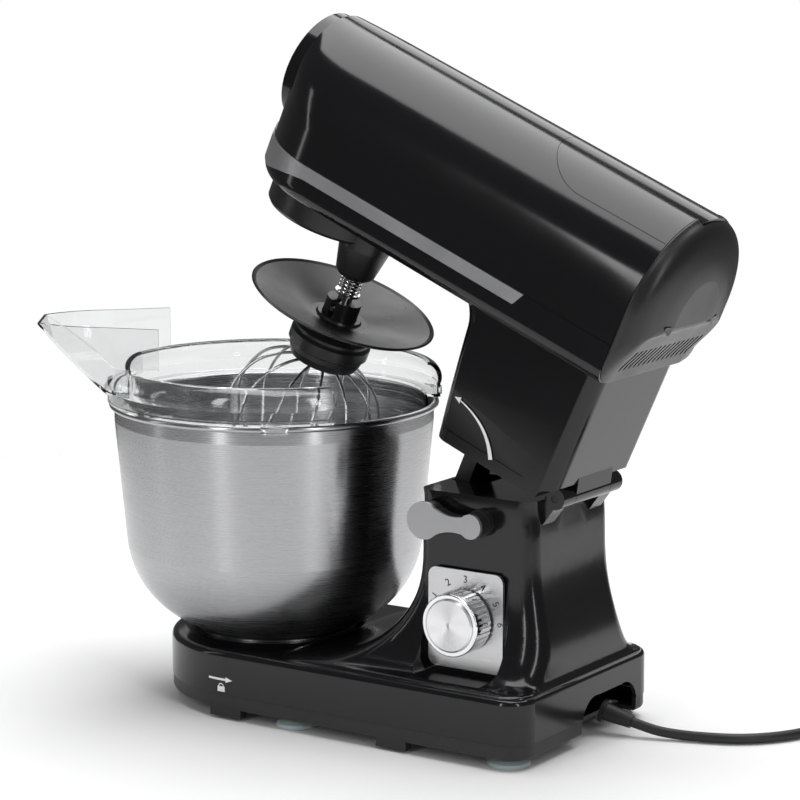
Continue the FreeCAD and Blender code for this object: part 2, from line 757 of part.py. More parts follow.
def nose_stations(inset):
    """Half width and Y along the round nose, from the straight side to the flat front."""
    radius = Dims.head_half_width - inset
    last = math.asin((NOSE_CENTRE_Y - Dims.head_nose_y - inset) / radius)
    for step in range(NOSE_STEPS + 1):
        angle = last * step / NOSE_STEPS
        yield radius * math.cos(angle), NOSE_CENTRE_Y - radius * math.sin(angle)


def head_plan_face(inset, height):
    """Plan of the head at one height, from the nose to the rear joint."""
    half = Dims.head_half_width - inset
    back = Dims.head_seam_y
    points = [(half, back), (half, NOSE_CENTRE_Y), (0, NOSE_CENTRE_Y - half, "arc"),
              (-half, NOSE_CENTRE_Y), (-half, back)]
    return face_of(points, Placement(Vector(0, 0, height), Rotation()))


def arch_wire(half, centre_z, low_z, y):
    left, right = Vector(-half, y, low_z), Vector(half, y, low_z)
    return Part.Wire([
        Part.LineSegment(left, right).toShape(),
        Part.LineSegment(right, Vector(half, y, centre_z)).toShape(),
        Part.Arc(Vector(half, y, centre_z), Vector(0, y, centre_z + half),
                 Vector(-half, y, centre_z)).toShape(),
        Part.LineSegment(Vector(-half, y, centre_z), left).toShape(),
    ])


def arch_top_z():
    return Dims.arch_centre_z + Dims.head_half_width


def upper_solid(inset, low_z):
    """The head above the strip, or its inside when inset by the wall."""
    wires = []
    for width, y in nose_stations(inset):
        wires.append(arch_wire(width, arch_top_z() - inset - width, low_z, y))
    nose = Part.makeLoft(wires, True, False)
    half = Dims.head_half_width - inset
    tunnel = Part.Face(arch_wire(half, Dims.arch_centre_z, low_z, NOSE_CENTRE_Y))
    return nose.fuse(tunnel.extrude(Vector(0, Dims.head_seam_y - NOSE_CENTRE_Y, 0)))


def lid_plan(grow, low_z, high_z):
    points = [(-41 - grow, 249.6), (-41 - grow, 184), (0, 143 - grow, "arc"),
              (41 + grow, 184), (41 + grow, 249.6)]
    return plan_prism(points, low_z, high_z)


def arch_tube(outer_inset, inner_inset, low_y, high_y):
    outer = Part.Face(arch_wire(Dims.head_half_width - outer_inset, Dims.arch_centre_z,
                                Dims.strip_top_z, low_y))
    inner = Part.Face(arch_wire(Dims.head_half_width - inner_inset, Dims.arch_centre_z,
                                Dims.strip_top_z - 1, low_y))
    run = Vector(0, high_y - low_y, 0)
    return outer.extrude(run).cut(inner.extrude(run))


CHIN_TOP_Z = 287.0


def upper_shell():
    low = Dims.strip_top_z + Dims.clear_gap
    chin_front = NOSE_CENTRE_Y - Dims.head_half_width
    chin = plan_prism([(40.4, -37.0), (40.4, -38.45), (0, chin_front, "arc"), (-40.4, -38.45),
                       (-40.4, -37.0)], low, CHIN_TOP_Z)
    shell = upper_solid(0.0, low).cut(upper_solid(Dims.wall, low - 2)).fuse(chin)
    outlet = rod_shape(34.6, Vector(0, -60, Dims.cap_centre_z), 60, Y_AXIS)
    shell = shell.cut(outlet)
    shell = shell.cut(lid_plan(0.3, 320, 380)).cut(box_shape((-13.7, 248, 340), (13.7, 251, 380)))
    ledge = arch_tube(2.5, 5.0, 137, 249.6).common(lid_plan(4.0, 320, 380))
    ledge = ledge.cut(lid_plan(-5.0, 320, 380))
    ledge = ledge.cut(box_shape((-36, 244, 300), (36, 252, 380)))
    return shell.fuse(ledge).removeSplitter()


keep("upper_shell", feature(upper_shell()), HEAD_FRAME)


def top_lid():
    lid = arch_tube(0.0, 2.1, 130, 249.6).common(lid_plan(0.0, 320, 380))
    tab = arch_tube(0.0, 2.1, 249.0, 255.7).common(box_shape((-13.4, 245, 340), (13.4, 263, 380)))
    rim = plan_prism(rounded_box_points(-22, 22, 175, 219, 20), 352, 366)
    rim = rim.cut(plan_prism(rounded_box_points(-20, 20, 177, 217, 18), 350, 370))
    inside = Part.Face(arch_wire(Dims.head_half_width - 1.2, Dims.arch_centre_z,
                                 Dims.strip_top_z, 130)).extrude(Vector(0, 140, 0))
    return lid.fuse(tab).fuse(rim.common(inside)).removeSplitter()


keep("top_lid", feature(top_lid()), HEAD_FRAME)


def strip_band(outset, inset, low_z, high_z):
    band = head_plan_face(-outset, low_z).extrude(Vector(0, 0, high_z - low_z))
    core = head_plan_face(inset, low_z - 1).extrude(Vector(0, 0, high_z - low_z + 2))
    return band.cut(core)


def strip_zone(gap):
    """Side view of the strip: level along the side, deeper round the nose, slanted end."""
    low, high = Dims.strip_low_z - gap, Dims.strip_top_z + gap
    return side_prism([(-60, low - 9), (-30, low - 9), (-12, low - 3.5, "arc"), (6, low),
                       (Dims.strip_end_y - 5 + gap, low), (Dims.strip_end_y + gap, high),
                       (-60, high)], 80)


keep("side_strip", feature(strip_band(0.5, 2.5, 262, 290).common(strip_zone(0.0))), HEAD_FRAME)


NECK_PROFILE = [(128, 262), (141, 252, "arc"), (145.5, 238), (149.5, 200), (154, 166.1),
                (235.4, 166.1), (246.5, 177.0), (247.5, 262)]


NECK_HOLLOW = [(133, 264), (145.3, 254, "arc"), (149.3, 238), (153.2, 200), (157.6, 160),
               (231.5, 160), (231.5, 168), (242.6, 179), (243.6, 264)]
NECK_WALL = 3.6
NECK_CORNER = 10.0


def neck_hollow():
    return side_prism(NECK_HOLLOW, Dims.neck_half_width - NECK_WALL)


def neck_solid():
    neck = side_prism(NECK_PROFILE, Dims.neck_half_width)

    def upright(edge):
        start, end = edge.Vertexes[0].Point, edge.Vertexes[-1].Point
        return abs(start.x - end.x) < 0.01 and abs(start.z - end.z) > 12 and start.y > 140

    return rounded(neck, NECK_CORNER, upright)


UNDER_RADIUS = 10.0


def tub_solid(inset, high):
    """The head below its top seam, with a rounded underside."""
    low = Dims.head_low_z + min(inset, Dims.wall)
    radius = UNDER_RADIUS - inset
    wires = []
    for step in range(5):
        angle = math.pi / 2 * step / 4
        face = head_plan_face(inset + radius * (1 - math.sin(angle)),
                              low + radius * (1 - math.cos(angle)))
        wires.append(face.OuterWire)
    curve = Part.makeLoft(wires, True, False)
    rim = head_plan_face(inset, low + radius)
    return curve.fuse(rim.extrude(Vector(0, 0, high - low - radius)))


def lower_shell():
    top = Dims.strip_top_z
    tub = tub_solid(0.0, top).fuse(neck_solid())
    inside = tub_solid(Dims.wall + 3.0, top + 1)
    back_room = box_shape((-50, 200, Dims.head_low_z + 6), (50, Dims.head_seam_y + 1, top + 1))
    inside = inside.fuse(back_room)
    shell = tub.cut(inside).cut(neck_hollow())
    shell = shell.cut(strip_band(2.0, 2.8, 262, 290).common(strip_zone(0.3)))
    shell = shell.cut(rod_shape(41.8, Vector(0, 0, 240), 40))
    for side in (-1, 1):
        panel = side_prism([(152, 240), (156, 200), (159.5, 174), (223, 174), (231, 188),
                            (236, 214), (238, 250), (152, 250)], 1.0)
        panel.translate(Vector(side * (Dims.neck_half_width + 0.2), 0, 0))
        shell = shell.cut(panel)
    barrel = rod_shape(Dims.knuckle_radius, Vector(-21.6, Dims.hinge_y, Dims.hinge_z), 43.2, X_AXIS)
    web = side_prism([(232.5, 166.6), (243.5, 166.4), (249.5, 170.0), (246.4, 182), (242.8, 182),
                      (232.5, 172)], 21.6)
    ear_room = rod_shape(Dims.knuckle_radius + Dims.clear_gap,
                         Vector(-60, Dims.hinge_y, Dims.hinge_z), 120, X_AXIS)
    shell = shell.cut(ear_room).fuse(barrel).fuse(web)
    bore = rod_shape(Dims.hinge_pin_radius + Dims.running_gap,
                     Vector(-40, Dims.hinge_y, Dims.hinge_z), 80, X_AXIS)
    return shell.cut(bore).removeSplitter()


keep("lower_shell", feature(lower_shell()), HEAD_FRAME)


# distance from the joint, pull-in of the outline, and height of the underside
REAR_STATIONS = [(0.3, 0.0, 257.0), (2.8, 0.4, 266.0), (6.5, 1.9, 275.0), (10.0, 4.7, 283.0),
                 (12.6, 9.4, 290.0), (14.9, 17.0, 295.5), (17.0, 27.0, 299.0), (18.2, 37.0, 301.0)]


def rear_section(pull, low, y):
    half = Dims.head_half_width - pull
    corner = max(16.0 - 1.2 * pull, 2.0)
    slant = corner * (1 - math.sqrt(0.5))
    points = [(-half + corner, low), (half - corner, low), (half - slant, low + slant, "arc"),
              (half, low + corner), (half, Dims.arch_centre_z + 1),
              (0, Dims.arch_centre_z + 1 + half, "arc"), (-half, Dims.arch_centre_z + 1),
              (-half, low + corner), (-half + slant, low + slant, "arc")]
    wire = Part.Wire([edge.toShape() for edge in outline_edges(points)])
    wire.rotate(Vector(), X_AXIS, 90)
    wire.translate(Vector(0, y, -1.0))
    return wire


def rear_dome():
    wires = [rear_section(pull, low, Dims.head_seam_y + y) for y, pull, low in REAR_STATIONS]
    return Part.makeLoft(wires, True, False)


def rear_room(pull, low, back):
    """One step of the hollow inside the dome."""
    face = Part.Face(rear_section(pull, low, Dims.head_seam_y - 1))
    return face.extrude(Vector(0, back - Dims.head_seam_y + 1, 0))


VENT_COUNT = 15


def rear_cover():
    cover = rear_dome().cut(rear_room(4.5, 279.0, 256.5)).cut(rear_room(13.0, 294.0, 260.6))
    for vent in range(VENT_COUNT):
        x = -42 + 84.0 * vent / (VENT_COUNT - 1)
        cover = cover.cut(box_shape((x - 1.3, 252.6, 250), (x + 1.3, 290, 282)))
    notch = box_shape((-13.7, 248, 340), (13.7, 256.0, 380))
    cover = cover.cut(notch)
    floor = arch_tube(2.5, 5.0, 250.3, 257.2).common(box_shape((-18, 250, 340), (18, 266, 380)))
    return cover.fuse(floor).removeSplitter()


keep("rear_cover", feature(rear_cover()), HEAD_FRAME)

cap_outline = [(0, 0), (33, 0), (Dims.cap_radius, 2.0), (Dims.cap_radius, 11.0), (34.2, 11.0),
               (34.2, 15.0), (31.5, 15.0), (31.5, 3.0), (0, 3.0)]
keep("front_cap", turned(cap_outline, Vector(0, Dims.head_nose_y - 0.3 - 11.0, Dims.cap_centre_z),
                         Y_AXIS), HEAD_FRAME)


def lock_tongue():
    tongue = box_shape((-12, 161.0, 128.6), (12, 171.4, 190))
    notch = box_shape((-9.5, 165.0, 133.5), (9.5, 175, 147))
    foot = box_shape((-30, 156, 186), (30, 172, 190)).fuse(box_shape((-46.2, 158, 180),
                                                                    (-30, 170, 190)))
    foot = foot.fuse(box_shape((30, 158, 180), (46.2, 170, 190)))
    return tongue.cut(notch).fuse(foot).removeSplitter()


keep("lock_tongue", feature(lock_tongue()), HEAD_FRAME)

# ---- gearbox -------------------------------------------------------------------------------

MODULE = Dims.gear_module
RING_TEETH = 88
PLANET_TEETH = 16
MAIN_TEETH = 64
PINION_TEETH = 16
BACKLASH = 0.25
PINION_Y = (MAIN_TEETH + PINION_TEETH) * MODULE / 2.0
ORBIT = Vector(Dims.orbit_radius * math.cos(math.radians(Dims.orbit_angle)),
               Dims.orbit_radius * math.sin(math.radians(Dims.orbit_angle)), 0)
RING_LOW, RING_HIGH = 262.5, 271.5
MAIN_LOW, MAIN_HIGH = 282.0, 290.0


def gear_solid(teeth, phase, low, high):
    return polygon_face(involute_points(teeth, MODULE, BACKLASH, phase), low).extrude(
        Vector(0, 0, high - low))


def ring_gear():
    blank = rod_shape(47.6, Vector(0, 0, RING_LOW), RING_HIGH - RING_LOW + 2.5)
    space = polygon_face(involute_space_points(RING_TEETH, MODULE, BACKLASH, Dims.orbit_angle),
                         RING_LOW - 1).extrude(Vector(0, 0, 20))
    return blank.cut(space)


keep("ring_gear", feature(ring_gear()), HEAD_FRAME)


HEAD_SCREWS = [(-44, 98), (44, 98), (-44, 124), (44, 124)]


def gearbox_plate():
    low, high = RING_HIGH + 2.5, RING_HIGH + 6.0
    plate = plan_prism(rounded_box_points(-50, 50, -30, 134, 20), low, high)
    plate = plate.cut(rod_shape(8.05, Vector(0, 0, low - 1), 10))
    plate = plate.cut(rod_shape(4.05, Vector(0, PINION_Y, low - 1), 10))
    for x, y in HEAD_SCREWS:
        plate = plate.cut(rod_shape(2.0, Vector(x, y, low - 1), 10))
    wall_outer = plan_prism(rounded_box_points(-49, 49, -30, 60, 20), high - 0.5, MAIN_HIGH + 3.0)
    wall_inner = plan_prism(rounded_box_points(-46, 46, -27, 57, 17), high - 1, MAIN_HIGH + 4)
    walls = wall_outer.cut(wall_inner).cut(rod_shape(34.0, Vector(0, 0, high), 30))
    return plate.fuse(walls).removeSplitter()


keep("gearbox_plate", feature(gearbox_plate()), HEAD_FRAME)


def gearbox_cover():
    low = MAIN_HIGH + 3.0
    cover = plan_prism(rounded_box_points(-49, 49, -30, 60, 20), low, low + 3.0)
    cover = cover.cut(rod_shape(8.05, Vector(0, 0, low - 1), 10))
    cover = cover.cut(rod_shape(4.05, Vector(0, PINION_Y, low - 1), 10))
    saddle = box_shape((-20, -30.0, low + 2.5), (20, -26.0, Dims.cap_centre_z + 14))
    saddle = saddle.cut(rod_shape(9.05, Vector(0, -40, Dims.cap_centre_z), 20, Y_AXIS))
    return cover.fuse(saddle).removeSplitter()


keep("gearbox_cover", feature(gearbox_cover()), HEAD_FRAME)

hub_outline = [(0, 233), (26, 233), (33, 236), (Dims.hub_radius - 1.5, 239), (Dims.hub_radius, 241),
               (Dims.hub_radius, 255.6), (Dims.hub_radius - 1, 256.6), (0, 256.6)]
hub_boss = [(0, 214.5), (11.5, 214.5), (13.5, 217), (17.5, 236), (17.5, 250), (0, 250)]
UPRIGHT = Placement(Vector(), Rotation(X_AXIS, 90))


def planet_hub():
    """The disc and the beater's boss, each turned so that their seams stay apart."""
    disc = face_of(hub_outline, UPRIGHT).revolve(Vector(), Z_AXIS, 360)
    disc.rotate(Vector(), Z_AXIS, Dims.orbit_angle)
    boss = face_of(hub_boss, UPRIGHT).revolve(Vector(), Z_AXIS, 360)
    boss.rotate(Vector(), Z_AXIS, Dims.orbit_angle + 90)
    boss.translate(ORBIT)
    hub = disc.fuse(boss).cut(rod_shape(8.0, ORBIT + Vector(0, 0, 205), 60))
    return hub.cut(rod_shape(6.0, Vector(0, 0, 240), 20)).removeSplitter()


keep("planet_hub", feature(planet_hub()), HEAD_FRAME)
keep("beater_bushing", tube(8.0, "Dims.beater_shaft_radius + Dims.running_gap", 42.1,
                            ORBIT + Vector(0, 0, 214.5)), HEAD_FRAME)
keep("main_gear", feature(gear_solid(MAIN_TEETH, 90.0, MAIN_LOW, MAIN_HIGH).cut(
    rod_shape(8.0, Vector(0, 0, MAIN_LOW - 1), 20))), HEAD_FRAME)

pinion_phase = -90.0 + 180.0 / PINION_TEETH
pinion = gear_solid(PINION_TEETH, pinion_phase, MAIN_LOW, MAIN_HIGH)
pinion.translate(Vector(0, PINION_Y, 0))
pinion = pinion.fuse(rod_shape(4.0, Vector(0, PINION_Y, RING_HIGH + 3), 40))
keep("pinion_shaft", feature(pinion), HEAD_FRAME)

BELT_LOW = Dims.belt_low_z
BELT_WIDTH = 7.0


def pulley_outline(radius, bore):
    return [(bore, -1.4), (radius + 1.0, -1.4), (radius + 1.0, -0.4), (radius, -0.4),
            (radius, BELT_WIDTH + 0.4), (radius + 1.0, BELT_WIDTH + 0.4),
            (radius + 1.0, BELT_WIDTH + 1.4), (bore, BELT_WIDTH + 1.4)]


keep("large_pulley", turned(pulley_outline(Dims.large_pulley_radius, 4.0),
                            Vector(0, PINION_Y, BELT_LOW)), HEAD_FRAME)
keep("motor_pulley", turned(pulley_outline(Dims.small_pulley_radius, Dims.motor_shaft_radius),
                            Vector(0, Dims.motor_y, BELT_LOW)), HEAD_FRAME)


def belt_loop(extra):
    """Plan of a belt round both pulleys at a distance from their surfaces."""
    big = Dims.large_pulley_radius + extra
    small = Dims.small_pulley_radius + extra
    span = Dims.motor_y - PINION_Y
    lean = math.asin((big - small) / span)
    bx, by = big * math.cos(lean), PINION_Y + big * math.sin(lean)
    sx, sy = small * math.cos(lean), Dims.motor_y + small * math.sin(lean)
    return [(bx, by), (sx, sy), (0, Dims.motor_y + small, "arc"), (-sx, sy), (-bx, by),
            (0, PINION_Y - big, "arc")]


belt = plan_prism(belt_loop(2.3), BELT_LOW, BELT_LOW + BELT_WIDTH).cut(
    plan_prism(belt_loop(0.3), BELT_LOW - 1, BELT_LOW + BELT_WIDTH + 1))
keep("drive_belt", feature(belt), HEAD_FRAME)

# ---- accessory outlet ----------------------------------------------------------------------

BEVEL_TEETH = 18
BEVEL_REACH = 14.0


def bevel_solid():
    """A 45 degree bevel gear on +Z whose cone meets the origin."""
    module = 2 * BEVEL_REACH / BEVEL_TEETH
    sections = []
    for scale in (1.0, 0.62):
        points = []
        for tooth in range(BEVEL_TEETH):
            centre = 2 * math.pi * tooth / BEVEL_TEETH
            for height, share in ((-0.55, -0.34), (0.42, -0.13), (0.42, 0.13), (-0.55, 0.34)):
                across = BEVEL_REACH + height * module * math.sqrt(0.5)
                along = BEVEL_REACH - height * module * math.sqrt(0.5)
                angle = centre + share * 2 * math.pi / BEVEL_TEETH
                points.append(Vector(across * math.cos(angle), across * math.sin(angle),
                                     -along) * scale)
        sections.append(points)
    faces = []
    count = len(sections[0])
    outer, inner = sections
    hub_outer = Vector(0, 0, -BEVEL_REACH - 1.5)
    hub_inner = Vector(0, 0, -BEVEL_REACH * 0.62)
    for index in range(count):
        after = (index + 1) % count
        a, b, c, d = outer[index], outer[after], inner[after], inner[index]
        for corners in ((a, b, c), (a, c, d), (hub_outer, b, a), (hub_inner, d, c)):
            faces.append(Part.Face(Part.makePolygon(list(corners) + [corners[0]])))
    solid = Part.Solid(Part.Shell(faces))
    if solid.Volume < 0:
        solid.reverse()
    return solid


def bevel_at(axis_rotation, phase_deg, bore):
    gear = bevel_solid()
    gear = gear.cut(rod_shape(bore, Vector(0, 0, -30), 40))
    gear.rotate(Vector(), Z_AXIS, phase_deg)
    gear.Placement = axis_rotation * gear.Placement
    return gear


apex = Vector(0, 0, Dims.cap_centre_z)


def main_shaft():
    shaft = turned([(0, 240), (6, 240), (6, 257), (8, 257), (8, 297.5), (5, 299), (5, 313),
                    (0, 313)])
    gear = bevel_at(Placement(apex, Rotation()), 180.0 / BEVEL_TEETH, 4.0)
    return joined(shaft, feature(gear))


keep("main_shaft", main_shaft(), HEAD_FRAME)


def outlet_shaft():
    shaft = rod_shape(4.0, Vector(0, -27, Dims.cap_centre_z), 14.0, Y_AXIS)
    sleeve = rod_shape(9.0, Vector(0, -36, Dims.cap_centre_z), 15.5, Y_AXIS)
    half = 4.6
    socket = box_shape((-half, -37, Dims.cap_centre_z - half), (half, -24, Dims.cap_centre_z + half))
    gear = bevel_at(Placement(apex, Rotation(Z_AXIS, Y_AXIS)), 0.0, 3.0)
    return sleeve.cut(socket).fuse(shaft).fuse(gear)


keep("outlet_shaft", feature(outlet_shaft()), HEAD_FRAME)

# ---- motor ---------------------------------------------------------------------------------

MOTOR = Vector(0, Dims.motor_y, 0)


def up(height):
    return MOTOR + Vector(0, 0, height)


keep("motor_shaft", cylinder("Dims.motor_shaft_radius", 136.0, up(192)), HEAD_FRAME)


def armature():
    core = rod_shape(21.0, up(214), 36)
    for slot in range(12):
        angle = 2 * math.pi * slot / 12
        cutter = box_shape((14, -1.2, 213), (22, 1.2, 251))
        cutter.rotate(Vector(), Z_AXIS, math.degrees(angle))
        cutter.translate(MOTOR)
        core = core.cut(cutter)
    commutator = rod_shape(10.0, up(249.5), 28.5)
    return core.fuse(commutator).cut(rod_shape(Dims.motor_shaft_radius, up(200), 90))


keep("armature", feature(armature()), HEAD_FRAME)


def cooling_fan():
    fan = rod_shape(8.0, up(196), 8).fuse(rod_shape(33.0, up(196), 1.6))
    for blade in range(11):
        vane = box_shape((7, -0.8, 196.5), (32, 0.8, 204))
        vane.rotate(Vector(), Z_AXIS, 360.0 * blade / 11)
        vane.translate(MOTOR)
        fan = fan.fuse(vane)
    return fan.cut(rod_shape(Dims.motor_shaft_radius, up(190), 30)).removeSplitter()


keep("cooling_fan", feature(cooling_fan()), HEAD_FRAME)


def stator_core():
    core = plan_prism(rounded_box_points(-37, 37, Dims.motor_y - 33, Dims.motor_y + 33, 12),
                      216, 248)
    opening = rod_shape(22.0, up(200), 80)
    for side in (-1, 1):
        window = rounded_box_points(-24, 24, -27, 27, 3)
        pocket = plan_prism(window, 210, 260)
        pocket = pocket.cut(box_shape((-13, -40, 200), (13, 40, 270)))
        pocket.translate(MOTOR)
        opening = opening.fuse(pocket)
    return core.cut(opening).removeSplitter()


keep("stator_core", feature(stator_core()), HEAD_FRAME)


def field_windings():
    coils = []
    for side in (-1, 1):
        outer = plan_prism(rounded_box_points(-22, 22, 22.6, 27.0, 2.0), 248.3, 256)
        lower = plan_prism(rounded_box_points(-22, 22, 22.6, 27.0, 2.0), 207, 215.7)
        legs = [box_shape((x, 22.6, 207), (x + 4, 26.4, 256)) for x in (-22.5, 18.5)]
        coil = outer.fuse(lower)
        for leg in legs:
            coil = coil.fuse(leg)
        if side < 0:
            coil.rotate(Vector(), Z_AXIS, 180)
        coil.translate(MOTOR)
        coils.append(coil)
    return Part.makeCompound(coils)


keep("field_windings", feature(field_windings()), HEAD_FRAME)


def motor_frame():
    frame = plan_prism(rounded_box_points(-40, 40, 164, 230, 12), 288, 292)
    frame = frame.fuse(box_shape((-56, 185, 288), (56, 209, 292)))
    for x in (-30, 30):
        for y in (170, 224):
            frame = frame.fuse(rod_shape(3.0, Vector(x, y, 248), 41))
    frame = frame.fuse(rod_shape(11.0, up(281), 8))
    return frame.cut(rod_shape(Dims.motor_shaft_radius + 0.05, up(270), 40)).removeSplitter()


keep("motor_frame", feature(motor_frame()), HEAD_FRAME)


def lower_bearing_bridge():
    bridge = box_shape((-46.2, 189, 186), (46.2, 205, 190))
    bridge = bridge.fuse(rod_shape(9.0, up(186), 8.5))
    return bridge.cut(rod_shape(Dims.motor_shaft_radius + 0.05, up(180), 30)).removeSplitter()


keep("lower_bearing", feature(lower_bearing_bridge()), HEAD_FRAME)
keep("brush_holders", joined(block((10.3, 193, 266), (30, 201, 274)),
                             block((-30, 193, 266), (-10.3, 201, 274)),
                             block((24, 194.5, 273.5), (28, 199.5, 288)),
                             block((-28, 194.5, 273.5), (-24, 199.5, 288))), HEAD_FRAME)


def speed_coupling():
    core = rod_shape(12.0, up(326), 14)
    for tooth in range(6):
        lug = box_shape((9, -2.5, 330), (15, 2.5, 339))
        lug.rotate(Vector(), Z_AXIS, 60.0 * tooth)
        lug.translate(MOTOR)
        core = core.fuse(lug)
    core = core.cut(rod_shape(8.0, up(334), 10))
    return core.cut(rod_shape(Dims.motor_shaft_radius, up(320), 8)).removeSplitter()


keep("speed_coupling", feature(speed_coupling()), HEAD_FRAME)

keep("gearbox_screws", joined(*[turned(SCREW_PROFILE, Vector(x, y, RING_HIGH + 8.2), Z_AXIS * -1.0)
                                for x, y in HEAD_SCREWS]), HEAD_FRAME)

# ---- beater drive --------------------------------------------------------------------------

planet = gear_solid(PLANET_TEETH, Dims.orbit_angle, RING_LOW, RING_HIGH - 1)
planet.translate(ORBIT)
planet = planet.cut(rod_shape(Dims.beater_shaft_radius, ORBIT + Vector(0, 0, 250), 40))
keep("planet_gear", feature(planet), HEAD_FRAME)

PIN_Z = 190.5
keep("beater_shaft", less(
    cylinder("Dims.beater_shaft_radius", 97.0, ORBIT + Vector(0, 0, 175)),
    cylinder(1.5, 30.0, ORBIT + Vector(-15, 0, PIN_Z), X_AXIS)), HEAD_FRAME)
keep("cross_pin", cylinder(1.5, 25.0, ORBIT + Vector(-12.5, 0, PIN_Z), X_AXIS), HEAD_FRAME)
keep("shaft_spring", feature(coil_spring(7.0, 0.8, 2.6, 10.4, ORBIT + Vector(0, 0, 202.8),
                                         Z_AXIS)), HEAD_FRAME)
keep("spring_washer", tube(8.6, Dims.beater_shaft_radius, 1.6, ORBIT + Vector(0, 0, 200.3)),
     HEAD_FRAME)

# ---- whisk ---------------------------------------------------------------------------------

whisk_bore = Dims.beater_shaft_radius + Dims.running_gap


def whisk_hub():
    outline = [(whisk_bore, 170.5), (0, 170.5), (0, 149), (16, 149), (23, 151), (25, 156),
               (25, 159.5), (27.5, 161), (27.5, 168), (25.5, 170), (25.5, 172), (22, 175),
               (12, 178), (12, 196), (whisk_bore, 196)]
    hub = face_of(outline, UPRIGHT).revolve(Vector(), Z_AXIS, 360)
    slot = box_shape((-14, -1.8, 184), (14, 1.8, 198))
    hub = hub.cut(slot)
    hub.translate(ORBIT)
    return hub.removeSplitter()


hub_shape = whisk_hub()
keep("whisk_hub", feature(hub_shape.copy()), HEAD_FRAME)


def splash_disc_outline():
    edge = Dims.shield_radius
    return [(12.2, 181.0), (20, 181.0), (24.2, 182.0), (24.6, 181.4), (25.4, 181.4), (25.8, 182.3),
            (41.2, 185.9), (41.6, 185.3), (42.4, 185.5), (42.8, 186.3), (edge - 2, 191.0),
            (edge, 192.6), (edge - 1, 193.6), (edge - 3, 192.4), (42, 188.0), (25, 184.0),
            (20, 183.0), (16, 183.0), (15, 184.5), (12.2, 184.5)]


keep("splash_disc", turned(splash_disc_outline(), ORBIT), HEAD_FRAME)

LOOPS = 6


def whisk_wires():
    loops = []
    top = 152.0
    reach = Dims.whisk_radius
    for loop in range(LOOPS):
        low = 56.0 + 2.4 * loop
        half = [Vector(13, 0, top - 1), Vector(27, 0, top - 5), Vector(42, 0, top - 15),
                Vector(reach - 1.5, 0, top - 32), Vector(reach, 0, top - 48),
                Vector(reach - 8, 0, 0.35 * top + 0.65 * low - 6), Vector(26, 0, low + 5)]
        left = [Vector(-p.x, 0, p.z) for p in reversed(half)]
        bottom = [Vector(0, 0, low - 1)]
        wire, radii = rounded_route(half + bottom + left)
        solid = swept(wire, Dims.wire_radius)
        solid.rotate(Vector(), Z_AXIS, 180.0 * loop / LOOPS + 8)
        solid.translate(ORBIT)
        loops.append(solid.cut(hub_shape))
    return Part.makeCompound(loops)


keep("whisk_wires", feature(whisk_wires()), HEAD_FRAME)

# ---- power cord ----------------------------------------------------------------------------

RELIEF_START = Vector(-26.75, 243.25, 15.35)
CORD_POINTS = [
    Vector(-30.5, 263.5, 9.5), Vector(-33.0, 277, 5.6), Vector(-38.5, 293, 3.6),
    Vector(-44.0, 312, 3.4), Vector(-52.5, 331, 3.4), Vector(-68.0, 347, 3.4),
    Vector(-88.0, 358.5, 3.4), Vector(-108.0, 364.5, 3.4), Vector(-126.0, 365.7, 3.4),
]
COIL_CENTRE = Vector(-126, 408.6, 0)
COIL_MIDDLE = 39.6


def coil_solid():
    """The outside of the wound cord: two turns on the floor and two on top of them."""
    reach = 2 * Dims.cord_radius
    ring = rod_shape(COIL_MIDDLE + reach, COIL_CENTRE + Vector(0, 0, 0.1), 2 * reach)
    return ring.cut(rod_shape(COIL_MIDDLE - reach, COIL_CENTRE, 40))


route, cord_radii = rounded_route(CORD_POINTS)
power_cord = swept(route, Dims.cord_radius)
cord_coil = coil_solid()
section_area = math.pi * Dims.cord_radius ** 2
print("cord arcs:", [round(radius, 1) for radius in cord_radii])
print("cord volume ratio:", round(power_cord.Volume / (section_area * route.Length), 4))
keep("power_cord", feature(power_cord.cut(cord_coil)), BASE_FRAME)
keep("cord_coil", feature(cord_coil), BASE_FRAME)


def relief():
    heading = CORD_POINTS[0] - RELIEF_START
    length = heading.Length
    outline = [(Dims.cord_radius - 3.3, 0), (8.0, 0), (8.0, 3.0), (6.2, 3.0), (4.4, length), (0, length)]
    return turned(outline, RELIEF_START, Vector(heading).normalize())


keep("strain_relief", relief(), BASE_FRAME)


def power_plug():
    level = 10.0
    start = COIL_CENTRE + Vector(10, COIL_MIDDLE + Dims.cord_radius, level)
    boot = Part.makeCone(3.4, 6.5, 36.0, start, X_AXIS)
    front = start.x + 66
    half = 17.0
    body = plan_prism([(front - 36, start.y - 8), (front - 26, start.y - half), (front, start.y - half),
                       (front, start.y + half), (front - 26, start.y + half),
                       (front - 36, start.y + 8)], level - 9.0, level + 9.0)
    body = rounded(body, 3.0, lambda edge: edge.BoundBox.XMax < front - 0.1)
    plug = body.fuse(boot)
    for side in (-9.5, 9.5):
        plug = plug.fuse(rod_shape(2.4, Vector(front - 1, start.y + side, level), 20, X_AXIS))
    return plug.cut(cord_coil).removeSplitter()


keep("power_plug", feature(power_plug()), BASE_FRAME)

doc.recompute()
for item in doc.Objects:
    if "Invalid" in item.State or "Error" in item.State:
        raise RuntimeError("%s did not recompute" % item.Label)
for label, item in nodes.items():
    if item.Shape.isNull() or not item.Shape.isValid() or not item.Shape.Solids:
        raise RuntimeError("%s has no valid solid" % label)

os.makedirs("parts", exist_ok=True)
for label, item in nodes.items():
    item.Shape.exportStep("parts/%s.step" % label)
print("nodes:", len(nodes))
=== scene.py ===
import json
import math

import bmesh
import bpy
from mathutils import Matrix, Vector


